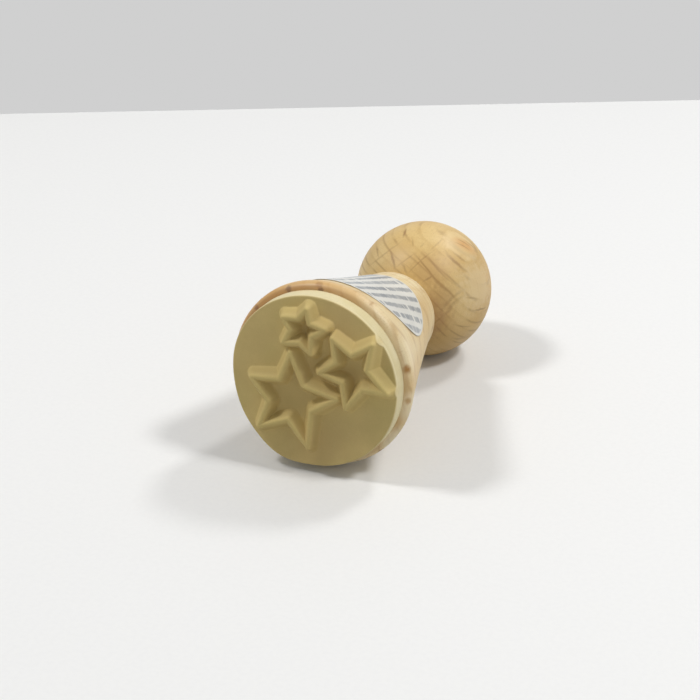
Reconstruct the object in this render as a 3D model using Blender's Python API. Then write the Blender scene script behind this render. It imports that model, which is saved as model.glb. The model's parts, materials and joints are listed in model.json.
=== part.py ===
# Wooden rubber stamp, lying on its side as it does on a table between uses.
#
# A turned beech handle (head, cone and neck) carries a foam cushion and a
# rubber face with three raised star outlines. A beech ball sits on the neck,
# held by a fluted dowel, and a round paper label is stuck on the cone.
#
# Every piece is modelled along the stamp's own axis: +Z points out of the
# rubber face, and z = 0 is the flat front of the wooden head. An empty then
# tips the stamp over until the head's rim and the ball both touch the table,
# with the rubber face towards -Y. Lengths are in metres.

import math

import bmesh
import bpy
from mathutils import Matrix, Vector

# Wooden head and cone
HEAD_RADIUS = 0.027            # widest rim of the head
FRONT_ROUND = 0.0022           # rounding between the flat front and the rim
RIM_LAND = 0.0008              # straight band behind the rounding
CONE_LENGTH = 0.048            # from the rim to the start of the shoulder
CONE_END_RADIUS = 0.0139       # cone where the shoulder starts
CONE_HOLLOW = 0.0004           # how far the cone dips below a straight taper
SHOULDER_LENGTH = 0.0072       # rounded end of the cone
NECK_RADIUS = 0.0095
NECK_LENGTH = 0.0032

# Ball and the dowel that holds it
BALL_RADIUS = 0.021
DOWEL_RADIUS = 0.004
DOWEL_LENGTH = 0.030
DOWEL_CHAMFER = 0.0008
FLUTE_COUNT = 12
FLUTE_DEPTH = 0.00035
DOWEL_CLEARANCE = 0.0003       # between the dowel and its holes
HOLE_SPARE_DEPTH = 0.0008      # each blind hole is this much deeper than the dowel needs

# Cushion and rubber face
GLUE_LINE = 0.0003             # between pieces that are glued to each other
CUSHION_RADIUS = 0.025
CUSHION_THICKNESS = 0.0034
DIE_RADIUS = 0.025
DIE_BASE = 0.0009              # rubber under the relief
RELIEF = 0.0030                # height of the ridges over the base
CREST_WIDTH = 0.0011           # flat top of a ridge, which prints
FLANK_RUN = 0.0021             # how far a ridge's flank spreads on its way down
FLANK_ROOM = 0.85              # share of a star's inside that its inner flanks may take
ROOT_DEPTH = 0.0002            # how deep a ridge's flanks run on into the base
SHEET_MARGIN = 0.004           # rubber sheet beyond the die before it is cut round

# Three star outlines on the face, drawn by hand, so no two points are quite alike. Each is the
# corners of its crest, right and up of the face's middle, a tip and a valley in turn
STARS = {
    "large": (
        (0.0083, -0.0027), (-0.0017, -0.0006), (-0.0058, 0.0084), (-0.0089, 0.0001), (-0.0175, -0.0008),
        (-0.0121, -0.0071), (-0.0149, -0.0153), (-0.0061, -0.0115), (0.0001, -0.0188), (0.0009, -0.0078),
    ),
    "medium": (
        (0.0182, 0.0148), (0.0123, 0.0110), (0.0065, 0.0146), (0.0078, 0.0081), (0.0029, 0.0042),
        (0.0099, 0.0024), (0.0111, -0.0048), (0.0160, 0.0016), (0.0230, 0.0016), (0.0170, 0.0074),
    ),
    "small": (
        (0.0041, 0.0169), (-0.0003, 0.0179), (-0.0014, 0.0217), (-0.0038, 0.0188), (-0.0082, 0.0184),
        (-0.0059, 0.0153), (-0.0080, 0.0111), (-0.0031, 0.0118), (0.0003, 0.0092), (0.0004, 0.0141),
    ),
}

# Round paper label on the cone
LABEL_RADIUS = 0.0199
LABEL_THICKNESS = 0.00015
LABEL_BACK = 0.0231            # from the start of the cone to the label's centre, along the axis
LABEL_TURN = 75.0              # degrees round the cone from +X, towards the top
LABEL_GAP = 0.0003             # between the paper and the wood

# Facets
SIDES = 48                     # round the axis, so that a flat one lies underneath
ROUND_STEPS = 5                # along a rounding
CONE_STEPS = 8
BALL_STEPS = 22
LABEL_SIDES = 40
LABEL_RINGS = 7
CREASE_ANGLE = 35              # degrees, sharper edges stay creased

# Colour, roughness of each material
BEECH = ((0.77, 0.60, 0.33), 0.55)
BALL_BEECH = ((0.70, 0.49, 0.22), 0.5)
DOWEL_WOOD = ((0.68, 0.50, 0.30), 0.7)
CREAM_FOAM = ((0.78, 0.68, 0.42), 0.85)
KHAKI_RUBBER = ((0.58, 0.45, 0.17), 0.75)
PAPER = ((0.76, 0.77, 0.74), 0.7)

# Heights along the stamp's axis
CONE_TOP = -FRONT_ROUND - RIM_LAND
SHOULDER_TOP = CONE_TOP - CONE_LENGTH
NECK_TOP = SHOULDER_TOP - SHOULDER_LENGTH
NECK_END = NECK_TOP - NECK_LENGTH
BALL_SEAT = NECK_END - GLUE_LINE
BALL_CENTRE = BALL_SEAT - math.sqrt(BALL_RADIUS ** 2 - NECK_RADIUS ** 2)
DOWEL_MIDDLE = (NECK_END + BALL_SEAT) / 2
HOLE_REACH = DOWEL_LENGTH / 2 + HOLE_SPARE_DEPTH
HOLE_RADIUS = DOWEL_RADIUS + DOWEL_CLEARANCE
CUSHION_BACK = GLUE_LINE
CUSHION_FRONT = CUSHION_BACK + CUSHION_THICKNESS
DIE_BACK = CUSHION_FRONT + GLUE_LINE
DIE_FACE = DIE_BACK + DIE_BASE

# A many-sided piece is drawn round its true circle, so its flats have the true radius
OUTSIDE = 1 / math.cos(math.pi / SIDES)
HALF_SIDE = math.pi / SIDES    # turns a flat, not an edge, to the underside


def clear_scene():
    for old in list(bpy.data.objects):
        bpy.data.objects.remove(old, do_unlink=True)


def material(name, colour, roughness):
    made = bpy.data.materials.new(name)
    made.use_nodes = True
    shader = made.node_tree.nodes["Principled BSDF"]
    shader.inputs["Base Color"].default_value = (*colour, 1.0)
    shader.inputs["Roughness"].default_value = roughness
    shader.inputs["Metallic"].default_value = 0.0
    return made


def add_object(name, mesh, finish=None):
    piece = bpy.data.objects.new(name, mesh)
    bpy.context.scene.collection.objects.link(piece)
    if finish:
        mesh.materials.append(material(name + "_finish", *finish))
    return piece


def add_mesh(name, build, finish=None):
    """An object from a function that fills a bmesh."""
    work = bmesh.new()
    build(work)
    bmesh.ops.recalc_face_normals(work, faces=work.faces)
    mesh = bpy.data.meshes.new(name)
    work.to_mesh(mesh)
    work.free()
    return add_object(name, mesh, finish)


def arc(centre, radii, start, end, steps):
    """Points (radius, height) on an ellipse, with angles in degrees from the radius axis, the first left out."""
    points = []
    for step in range(1, steps + 1):
        angle = math.radians(start + (end - start) * step / steps)
        points.append((centre[0] + radii[0] * math.cos(angle), centre[1] + radii[1] * math.sin(angle)))
    return points


def turned(name, profile, finish=None):
    """A lathe-turned solid from points (radius, height), which start and end on the axis."""
    def build(work):
        corners = [work.verts.new((radius * OUTSIDE, 0.0, height)) for radius, height in profile]
        edges = [work.edges.new(pair) for pair in zip(corners, corners[1:])]
        bmesh.ops.spin(work, geom=corners + edges, axis=(0, 0, 1), angle=math.tau, steps=SIDES, use_merge=True)
        bmesh.ops.remove_doubles(work, verts=work.verts, dist=0.000001)

    piece = add_mesh(name, build, finish)
    piece.rotation_euler.z = HALF_SIDE
    return piece


def cone_radius(height):
    """Radius of the cone at a height: a straight taper with a shallow hollow along it."""
    along = (CONE_TOP - height) / CONE_LENGTH
    taper = HEAD_RADIUS + (CONE_END_RADIUS - HEAD_RADIUS) * along
    return taper - CONE_HOLLOW * 4 * along * (1 - along)


def handle_profile():
    front_edge = HEAD_RADIUS - FRONT_ROUND
    points = [(0.0, 0.0), (front_edge, 0.0)]
    points += arc((front_edge, -FRONT_ROUND), (FRONT_ROUND, FRONT_ROUND), 90, 0, ROUND_STEPS)
    for step in range(CONE_STEPS + 1):
        height = CONE_TOP - CONE_LENGTH * step / CONE_STEPS
        points.append((cone_radius(height), height))
    shoulder = (CONE_END_RADIUS - NECK_RADIUS, SHOULDER_LENGTH)
    points += arc((NECK_RADIUS, SHOULDER_TOP), shoulder, 0, -90, ROUND_STEPS)
    hole_floor = DOWEL_MIDDLE + HOLE_REACH
    points += [(NECK_RADIUS, NECK_END), (HOLE_RADIUS, NECK_END), (HOLE_RADIUS, hole_floor), (0.0, hole_floor)]
    return points


def ball_profile():
    hole_floor = DOWEL_MIDDLE - HOLE_REACH
    points = [(0.0, hole_floor), (HOLE_RADIUS, hole_floor), (HOLE_RADIUS, BALL_SEAT), (NECK_RADIUS, BALL_SEAT)]
    seat_angle = math.degrees(math.acos(NECK_RADIUS / BALL_RADIUS))
    points += arc((0.0, BALL_CENTRE), (BALL_RADIUS, BALL_RADIUS), seat_angle, -90, BALL_STEPS)
    return points


def disc_profile(radius, back, front):
    return [(0.0, front), (radius, front), (radius, back), (0.0, back)]


def make_dowel():
    """A fluted pin: rings of alternate ridge and groove points, drawn in at both chamfered ends."""
    half = DOWEL_LENGTH / 2
    rings = [(half, DOWEL_CHAMFER), (half - DOWEL_CHAMFER, 0.0), (DOWEL_CHAMFER - half, 0.0), (-half, DOWEL_CHAMFER)]

    def build(work):
        loops = []
        for height, inset in rings:
            ring = []
            for step in range(2 * FLUTE_COUNT):
                radius = DOWEL_RADIUS - inset - FLUTE_DEPTH * (step % 2)
                angle = math.pi * step / FLUTE_COUNT
                ring.append(work.verts.new((radius * math.cos(angle), radius * math.sin(angle), height)))
            loops.append(ring)
        join_loops(work, loops)
        work.faces.new(loops[0])
        work.faces.new(loops[-1])

    dowel = add_mesh("dowel_pin", build, DOWEL_WOOD)
    dowel.location.z = DOWEL_MIDDLE
    return dowel


def join_loops(work, loops):
    """Quads between each closed loop of vertices and the next, which has as many."""
    for upper, lower in zip(loops, loops[1:]):
        count = len(upper)
        for i in range(count):
            following = (i + 1) % count
            work.faces.new((upper[i], upper[following], lower[following], lower[i]))


def star_middle(star):
    """The mean of the star's valleys."""
    valleys = star[1::2]
    return Vector((sum(right for right, up in valleys), sum(up for right, up in valleys))) / len(valleys)


def edge_normals(corners):
    """The outward direction of each edge, from its corner to the next."""
    normals = []
    for corner, following in zip(corners, corners[1:] + corners[:1]):
        along = (following - corner).normalized()
        normals.append(Vector((along.y, -along.x)))
    return normals


def inner_room(star):
    """How far the star's nearest edge lies from its middle."""
    middle = star_middle(star)
    corners = [Vector(corner) - middle for corner in star]
    return min(corner.dot(normal) for corner, normal in zip(corners, edge_normals(corners)))


def star_loop(star, offset, height):
    """The star's outline moved out by offset, or in where it is negative, as points of one height.

    Each tip is three points: outwards they go round the crest's own tip at that distance,
    and inwards they share the corner where both moved edges meet.
    """
    corners = [Vector(corner) for corner in star]
    normals = edge_normals(corners)
    points = []
    for i, corner in enumerate(corners):
        before, after = normals[i - 1], normals[i]
        middle = (before + after).normalized()
        mitre = corner + (before + after) * offset / (1 + before.dot(after))
        if i % 2:
            points.append(mitre)
        elif offset > 0:
            points += [corner + direction * offset for direction in (before, middle, after)]
        else:
            points += [mitre] * 3
    return [(point.x, point.y, height) for point in points]


def make_star_ridge(name, star):
    """A raised star outline with sloping flanks, standing a little way into the rubber under it.

    Inside a small star the flanks meet before they are down, and leave a shallow pit.
    """
    slope = RELIEF / FLANK_RUN
    half_crest = CREST_WIDTH / 2
    outer_run = FLANK_RUN + ROOT_DEPTH / slope
    inner_run = min(outer_run, FLANK_ROOM * (inner_room(star) - half_crest))
    crest = DIE_FACE + RELIEF
    levels = [
        (half_crest + outer_run, crest - slope * outer_run),
        (half_crest, crest),
        (-half_crest, crest),
        (-half_crest - inner_run, crest - slope * inner_run),
    ]

    def build(work):
        loops = [[work.verts.new(point) for point in star_loop(star, *level)] for level in levels]
        under = [work.verts.new((v.co.x, v.co.y, DIE_FACE - 2 * ROOT_DEPTH)) for v in loops[0]]
        join_loops(work, [under] + loops)
        work.faces.new(under)
        work.faces.new(loops[-1])
        bmesh.ops.remove_doubles(work, verts=work.verts, dist=0.000001)
        bmesh.ops.triangulate(work, faces=[face for face in work.faces if len(face.verts) > 4])

    return as_cutter(add_mesh(name, build))


def as_cutter(piece):
    piece.hide_render = True
    piece.display_type = "WIRE"
    return piece


def combine(piece, other, operation):
    step = piece.modifiers.new(other.name, "BOOLEAN")
    step.operation = operation
    step.solver = "EXACT"
    step.object = other


def make_die():
    """Rubber sheet with the three ridges on it, cut round through sheet and ridges alike."""
    sheet = disc_profile(DIE_RADIUS + SHEET_MARGIN, DIE_BACK, DIE_FACE)
    die = turned("rubber_die", sheet, KHAKI_RUBBER)
    ridges = [make_star_ridge(name + "_star_ridge", star) for name, star in STARS.items()]
    for ridge in ridges:
        combine(die, ridge, "UNION")
    punch = disc_profile(DIE_RADIUS, DIE_BACK - SHEET_MARGIN, DIE_FACE + RELIEF + SHEET_MARGIN)
    knife = as_cutter(turned("round_knife", punch))
    combine(die, knife, "INTERSECT")
    return die, ridges + [knife]


def label_point(across, round_angle, lift):
    """A point of the flat round label, laid on the cone and lifted off it.

    The cone unrolls into a fan: the distance from the apex gives the height,
    and the angle of the fan, opened out again, the turn round the axis.
    """
    lean = math.atan2(HEAD_RADIUS - CONE_END_RADIUS, CONE_LENGTH)
    middle = CONE_TOP - LABEL_BACK
    apex_distance = cone_radius(middle) / math.sin(lean)
    along = apex_distance + across * math.cos(round_angle)
    aside = across * math.sin(round_angle)
    height = middle + (math.hypot(along, aside) - apex_distance) * math.cos(lean)
    turn = math.radians(LABEL_TURN) + math.atan2(aside, along) / math.sin(lean)
    radius = cone_radius(height) * OUTSIDE + lift * math.cos(lean)
    return Vector((radius * math.cos(turn), radius * math.sin(turn), height - lift * math.sin(lean)))


def make_label():
    def side(work, lift):
        middle = work.verts.new(label_point(0.0, 0.0, lift))
        rings = []
        for ring in range(1, LABEL_RINGS + 1):
            across = LABEL_RADIUS * ring / LABEL_RINGS
            angles = [math.tau * step / LABEL_SIDES for step in range(LABEL_SIDES)]
            rings.append([work.verts.new(label_point(across, angle, lift)) for angle in angles])
        for i in range(LABEL_SIDES):
            work.faces.new((middle, rings[0][i], rings[0][(i + 1) % LABEL_SIDES]))
        join_loops(work, rings)
        return rings[-1]

    def build(work):
        inner_edge = side(work, LABEL_GAP)
        outer_edge = side(work, LABEL_GAP + LABEL_THICKNESS)
        join_loops(work, [inner_edge, outer_edge])

    return add_mesh("paper_label", build, PAPER)


def lowest(profile, tilt):
    """Height of a turned piece's lowest point over the stamp's origin, with its face tipped up by tilt."""
    return min(height * math.sin(tilt) - radius * math.cos(tilt) for radius, height in profile)


def resting_tilt():
    """The tilt at which the head and the ball touch the table together, found by halving."""
    head, ball = handle_profile(), ball_profile()
    low, high = -math.pi / 4, math.pi / 4
    for _ in range(60):
        middle = (low + high) / 2
        if lowest(ball, middle) > lowest(head, middle):
            low = middle
        else:
            high = middle
    return (low + high) / 2


def lay_down(pieces, guides):
    """Tip the stamp over, put its lowest point on the table and centre it over the origin."""
    tilt = resting_tilt()
    axis = bpy.data.objects.new("stamp_axis", None)
    bpy.context.scene.collection.objects.link(axis)
    for piece in pieces + guides:
        piece.parent = axis
    axis.rotation_euler = Matrix.Rotation(math.pi / 2 - tilt, 4, "X").to_euler()
    bpy.context.view_layer.update()
    places = []
    scene_now = bpy.context.evaluated_depsgraph_get()
    for piece in pieces:
        shown = piece.evaluated_get(scene_now)
        places += [shown.matrix_world @ vertex.co for vertex in shown.data.vertices]
    for side in (0, 1):
        line = [place[side] for place in places]
        axis.location[side] = -(min(line) + max(line)) / 2
    axis.location.z = -min(place.z for place in places)


def shade(pieces):
    """Round surfaces smooth, with an edge wherever two faces meet at more than the crease angle."""
    for piece in pieces:
        piece.data.shade_smooth()
        piece.data.set_sharp_from_angle(angle=math.radians(CREASE_ANGLE))


def build_stamp():
    clear_scene()
    handle = turned("handle_body", handle_profile(), BEECH)
    ball = turned("ball_knob", ball_profile(), BALL_BEECH)
    cushion = turned("foam_cushion", disc_profile(CUSHION_RADIUS, CUSHION_BACK, CUSHION_FRONT), CREAM_FOAM)
    dowel = make_dowel()
    label = make_label()
    shade([handle, ball, cushion, label])
    die, guides = make_die()
    lay_down([handle, ball, cushion, dowel, label, die], guides)


build_stamp()
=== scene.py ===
# Looks of a wooden rubber stamp that lies on a table: beech handle and ball, foam cushion,
# khaki rubber face with three raised stars, and a round paper label on the cone.
import json
import math

import bpy
import numpy as np
from mathutils import Matrix, Vector


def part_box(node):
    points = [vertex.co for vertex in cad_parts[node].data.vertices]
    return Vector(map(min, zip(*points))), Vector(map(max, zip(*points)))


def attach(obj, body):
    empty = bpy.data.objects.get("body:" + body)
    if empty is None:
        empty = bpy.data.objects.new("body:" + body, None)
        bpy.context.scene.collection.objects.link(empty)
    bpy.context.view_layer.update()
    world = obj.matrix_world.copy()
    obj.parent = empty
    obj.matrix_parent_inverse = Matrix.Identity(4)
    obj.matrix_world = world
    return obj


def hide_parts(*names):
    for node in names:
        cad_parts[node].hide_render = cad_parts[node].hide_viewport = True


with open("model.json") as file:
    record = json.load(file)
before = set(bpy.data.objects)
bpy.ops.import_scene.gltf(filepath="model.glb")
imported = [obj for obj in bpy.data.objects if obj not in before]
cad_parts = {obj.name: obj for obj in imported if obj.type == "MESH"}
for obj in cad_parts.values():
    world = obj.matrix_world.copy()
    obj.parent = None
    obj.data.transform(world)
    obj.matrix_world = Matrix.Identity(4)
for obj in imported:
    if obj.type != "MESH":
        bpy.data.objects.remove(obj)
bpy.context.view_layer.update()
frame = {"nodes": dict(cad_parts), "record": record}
print("frame loaded:", ", ".join(sorted(frame["nodes"])))

mm = 0.001


# The stamp's own axes: right, up along the rubber face, and out of it

faceMount = next(mount for mount in frame["record"]["mounts"] if mount["name"] == "stamp_face")
faceOut = np.array(faceMount["axis"]) / np.linalg.norm(faceMount["axis"])
faceRight = np.array([1.0, 0.0, 0.0])
faceUp = np.cross(faceOut, faceRight)
stampAxes = np.stack([faceRight, faceUp, faceOut])

stack = dict(glue=0.3 * mm, cushion=3.4 * mm, rubber=0.9 * mm)      # from the wood outwards
cushionMiddle = np.mean(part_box("foam_cushion"), axis=0)
headFront = cushionMiddle - faceOut * (stack["glue"] + stack["cushion"] / 2)
cushionBack = stack["glue"]
cushionFront = cushionBack + stack["cushion"]
rubberBack = cushionFront + stack["glue"]
rubberFace = rubberBack + stack["rubber"]


# World point = front of the wooden head + x right + y up + z out of the face.
def place(points):
    points = np.asarray(points, dtype=float)
    return headFront + points @ stampAxes


# Stamp point at a radius and height, turned round the axis from right towards up, in degrees.
def around(radius, turn, height):
    turn = np.radians(turn)
    parts = np.broadcast_arrays(radius * np.cos(turn), radius * np.sin(turn), height)
    return np.stack(parts, axis=-1)


# World direction square to the stamp's axis, at a turn from right towards up, in degrees.
def heading(turn):
    return around(1.0, turn, 0.0) @ stampAxes


# 0 below low, 1 above high, and 3t^2 - 2t^3 between.
def smoothStep(low, high, value):
    t = np.clip((value - low) / (high - low), 0, 1)
    return t * t * (3 - 2 * t)


# The larger of two values, with the corner between them rounded over a width.
def softMaximum(first, second, width):
    mix = np.clip(0.5 + 0.5 * (first - second) / width, 0, 1)
    return second + (first - second) * mix + width * mix * (1 - mix)


# Smooth uneven field: a mean of sines of random direction, frequency and phase, about -1 to 1.
def waves(seed, count, low, high, *values):
    draw = np.random.default_rng(seed)
    total = 0.0
    for _ in range(count):
        push = draw.normal(size=len(values))
        push *= draw.uniform(low, high) / np.linalg.norm(push)
        total = total + np.sin(sum(p * v for p, v in zip(push, values)) + draw.uniform(0, math.tau))
    return total / math.sqrt(count)


# Meshes from arrays

# A smooth-shaded object from points and arrays of faces; the faces are turned outwards by volume.
def meshPiece(name, points, faceSets, attributes=None):
    volume = 0.0
    for faces in faceSets:
        for k in range(1, faces.shape[1] - 1):
            a, b, c = points[faces[:, 0]], points[faces[:, k]], points[faces[:, k + 1]]
            volume += np.einsum("ij,ij->", a, np.cross(b, c))
    if volume < 0:
        faceSets = [faces[:, ::-1] for faces in faceSets]
    corners = np.concatenate([faces.ravel() for faces in faceSets]).astype(np.int32)
    sizes = np.concatenate([np.full(len(faces), faces.shape[1]) for faces in faceSets]).astype(np.int32)
    starts = np.concatenate([[0], np.cumsum(sizes)[:-1]]).astype(np.int32)
    mesh = bpy.data.meshes.new(name)
    mesh.vertices.add(len(points))
    mesh.vertices.foreach_set("co", points.astype(np.float32).ravel())
    mesh.loops.add(len(corners))
    mesh.loops.foreach_set("vertex_index", corners)
    mesh.polygons.add(len(sizes))
    mesh.polygons.foreach_set("loop_start", starts)
    mesh.update(calc_edges=True)
    mesh.shade_smooth()
    for key, data in (attributes or {}).items():
        kind, field = ("FLOAT", "value") if data.ndim == 1 else ("FLOAT_VECTOR", "vector")
        mesh.attributes.new(key, kind, "POINT").data.foreach_set(field, data.astype(np.float32).ravel())
    piece = bpy.data.objects.new(name, mesh)
    bpy.context.scene.collection.objects.link(piece)
    return piece


# Quads between closed rings: point (i, j) joins (i, j + 1), (i + 1, j + 1) and (i + 1, j).
def skinFaces(rings, turns, start=0):
    i, j = np.meshgrid(np.arange(rings - 1), np.arange(turns), indexing="ij")
    k = (j + 1) % turns
    quads = [i * turns + j, i * turns + k, (i + 1) * turns + k, (i + 1) * turns + j]
    return start + np.stack(quads, axis=-1).reshape(-1, 4)


# Triangles from a closed ring of point numbers to one middle point.
def fanFaces(ring, middle, flip):
    pairs = (np.roll(ring, -1), ring) if flip else (ring, np.roll(ring, -1))
    return np.stack([pairs[0], pairs[1], np.full(len(ring), middle)], axis=-1)


# Lathe surface: point = (r cos a, r sin a, h), for a profile that starts and ends on the axis.
# swell(a, h, r) gives each point a little more or less radius, so that the piece isn't perfectly round.
def turnedPiece(name, radii, heights, turns, swell):
    angles = np.linspace(0, math.tau, turns, endpoint=False)
    angle, height = np.meshgrid(angles, heights[1:-1])
    radius = np.broadcast_to(radii[1:-1, None], angle.shape)
    radius = radius + swell(angle, height, radius)
    rings = around(radius, np.degrees(angle), height)
    ends = around(0.0, 0.0, heights[[0, -1]])
    points = np.concatenate([rings.reshape(-1, 3), ends])
    count = len(heights) - 2
    first, last = np.arange(turns), (count - 1) * turns + np.arange(turns)
    faces = [
        skinFaces(count, turns),
        np.concatenate([fanFaces(first, count * turns, True), fanFaces(last, count * turns + 1, False)]),
    ]
    return meshPiece(name, place(points), faces)


# Radii and heights of a profile from its runs of points (r, h).
def profileOf(*runs):
    return np.concatenate([np.asarray(run, dtype=float).reshape(-1, 2) for run in runs]).T


# Points of a straight run without its first one: start + (end - start) t.
def alongLine(start, end, count):
    t = np.linspace(0, 1, count + 1)[1:, None]
    return np.asarray(start) + (np.asarray(end) - np.asarray(start)) * t


# Points of an ellipse without its first one: centre + (a cos t, b sin t), t in degrees.
def alongArc(centre, radii, start, end, count):
    t = np.radians(np.linspace(start, end, count + 1)[1:])
    return np.stack([centre[0] + radii[0] * np.cos(t), centre[1] + radii[1] * np.sin(t)], axis=-1)


# Shader building

# A socket that takes part in arithmetic: each operator adds one Math node.
class Value:
    def __init__(self, finish, socket):
        self.finish = finish
        self.socket = socket

    def math(self, operation, *others):
        return self.finish.math(operation, self, *others)

    def __add__(self, other):
        return self.math("ADD", other)

    def __sub__(self, other):
        return self.math("SUBTRACT", other)

    def __mul__(self, other):
        return self.math("MULTIPLY", other)

    def __truediv__(self, other):
        return self.math("DIVIDE", other)

    __radd__ = __add__

    # 0 below low and top above high, smooth between; falls instead where low is above high.
    def step(self, low, high, top=1.0):
        rising = low < high
        settings = {"interpolation_type": "SMOOTHSTEP"}
        ends = (low, high, 0.0, top) if rising else (high, low, top, 0.0)
        node = self.finish.node("MapRange", settings, dict(enumerate((self, *ends))))
        return Value(self.finish, node.outputs[0])


# The node tree of a material, or of the world, under construction.
class Finish:
    def __init__(self, owner):
        self.owner = bpy.data.materials.new(owner) if isinstance(owner, str) else owner
        self.owner.use_nodes = True
        self.tree = self.owner.node_tree
        self.tree.nodes.clear()

    # A node of a type, with its settings first and then the values or links of its sockets.
    def node(self, kind, settings=None, inputs=None):
        made = self.tree.nodes.new("ShaderNode" + kind)
        for key, value in (settings or {}).items():
            setattr(made, key, value)
        for key, value in (inputs or {}).items():
            if isinstance(value, Value):
                self.tree.links.new(value.socket, made.inputs[key])
            else:
                made.inputs[key].default_value = value
        return made

    def math(self, operation, *values):
        node = self.node("Math", {"operation": operation}, dict(enumerate(values)))
        return Value(self, node.outputs[0])

    def vector(self, operation, *values):
        node = self.node("VectorMath", {"operation": operation}, dict(enumerate(values)))
        numeric = operation in ("DOT_PRODUCT", "DISTANCE", "LENGTH")
        return Value(self, node.outputs[1 if numeric else 0])

    def position(self, kind="Object"):
        return Value(self, self.node("TexCoord").outputs[kind])

    def attribute(self, name, output="Fac"):
        return Value(self, self.node("Attribute", {"attribute_name": name}).outputs[output])

    def split(self, vector):
        node = self.node("SeparateXYZ", {}, {0: vector})
        return [Value(self, output) for output in node.outputs]

    def join(self, x, y, z):
        return Value(self, self.node("CombineXYZ", {}, {0: x, 1: y, 2: z}).outputs[0])

    def noise(self, vector, scale, detail=2.0, roughness=0.5, output="Fac"):
        inputs = {"Vector": vector, "Scale": scale, "Detail": detail, "Roughness": roughness}
        return Value(self, self.node("TexNoise", {}, inputs).outputs[output])

    def cells(self, vector, scale):
        node = self.node("TexVoronoi", {}, {"Vector": vector, "Scale": scale})
        return Value(self, node.outputs["Distance"])

    # Colour mix of first towards second.
    def blend(self, factor, first, second):
        colours = [c if isinstance(c, Value) else (*c, 1.0) for c in (first, second)]
        node = self.node("Mix", {"data_type": "RGBA"}, {0: factor, 6: colours[0], 7: colours[1]})
        return Value(self, node.outputs[2])

    # 1 where the camera sees a surface, directly or through a reflection or glass, and 0 elsewhere.
    def seen(self):
        path = self.node("LightPath")
        kinds = ("Is Camera Ray", "Is Glossy Ray", "Is Transmission Ray")
        camera, glossy, glass = (Value(self, path.outputs[kind]) for kind in kinds)
        return self.math("MAXIMUM", self.math("MAXIMUM", camera, glossy), glass)

    def bump(self, height, distance, strength, under=None):
        inputs = {"Height": height, "Distance": distance, "Strength": strength}
        if under:
            inputs["Normal"] = under
        return Value(self, self.node("Bump", {}, inputs).outputs[0])

    # Ends the material with a Principled shader; underscores stand for spaces in socket names.
    def surface(self, **sockets):
        named = {key.replace("_", " "): value for key, value in sockets.items()}
        shader = self.node("BsdfPrincipled", {}, named)
        self.node("OutputMaterial", {}, {"Surface": Value(self, shader.outputs[0])})
        return self.owner


def vectorOf(values):
    return tuple(float(v) for v in values)


# Beech

timber = dict(
    alongGrain=0.22,               # clouds are drawn out along the grain by 1 / this
    cloudScale=90, broadScale=38, fibreScale=420, poreScale=2300,
    broadTone=0.5, fibreTone=0.22, poreTone=0.20,
    fibreDepth=0.05 * mm, latheDepth=0.06 * mm,
    roughness=0.46, roughnessSpread=0.12, coat=0.06, coatRoughness=0.35,
    markFray=700, markCore=0.35,   # for marks that say nothing else
    strokeWobble=0.5 * mm, strokeReach=0.62, strokeDepth=14,
)


# Thin dark stroke with a soft edge, which bends from start over middle to end. It is the core of a
# flat ellipsoid, long from start to end, whose plane holds all three points, so that the stroke
# follows the circle in which that plane cuts the ball.
def grainStroke(beech, position, start, middle, end, width, tone):
    along = (end - start).normalized()
    across = (middle - (start + end) / 2).cross(along).normalized()
    turn = Matrix((along, across, along.cross(across))).transposed().to_euler()
    size = ((end - start).length * timber["strokeReach"], width, timber["strokeDepth"] * width)
    inputs = {"Vector": position, "Location": (start + end) / 2, "Rotation": turn, "Scale": size}
    local = beech.node("Mapping", {"vector_type": "TEXTURE"}, inputs)
    return beech.vector("LENGTH", Value(beech, local.outputs[0])).step(1.0, 0.12, tone)


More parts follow.
